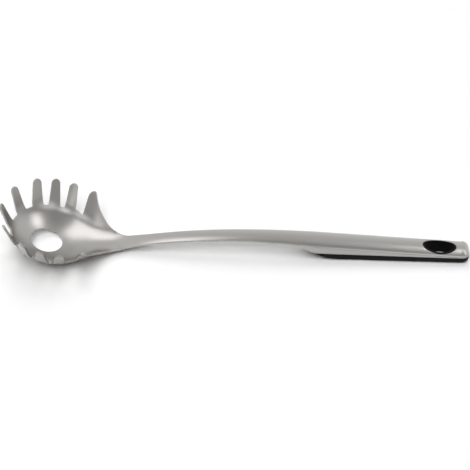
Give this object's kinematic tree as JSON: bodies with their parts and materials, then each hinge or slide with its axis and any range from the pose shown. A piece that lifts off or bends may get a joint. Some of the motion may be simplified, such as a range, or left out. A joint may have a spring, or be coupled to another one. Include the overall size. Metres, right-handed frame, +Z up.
{
  "type": "pasta server",
  "caption": "Spaghetti server: a pressed steel bowl with upright tines and a drain hole, on a channel stem with a shell handle, soft underside grip and hanging hole.",
  "frame": {"origin": "on the table the server lies on, midway between the front tip of the bowl and the end of the handle, on the middle line", "axes": "+X along the tool from the bowl towards the end of the handle, +Y across it, +Z up from the table, out of the open side of the bowl"},
  "size_m": [0.3349, 0.0802, 0.0389],
  "materials": {
    "steel": "satin brushed stainless steel, brushed along the tool",
    "nylon": "moulded black nylon, fine matt",
    "soft_grip": "moulded black thermoplastic rubber, soft matt"
  },
  "bodies": {
    "root": {"server_head": "steel", "stem": "steel", "handle_shell": "steel", "hole_liner": "nylon", "handle_core": "nylon", "soft_grip": "soft_grip"}
  },
  "joints": []
}
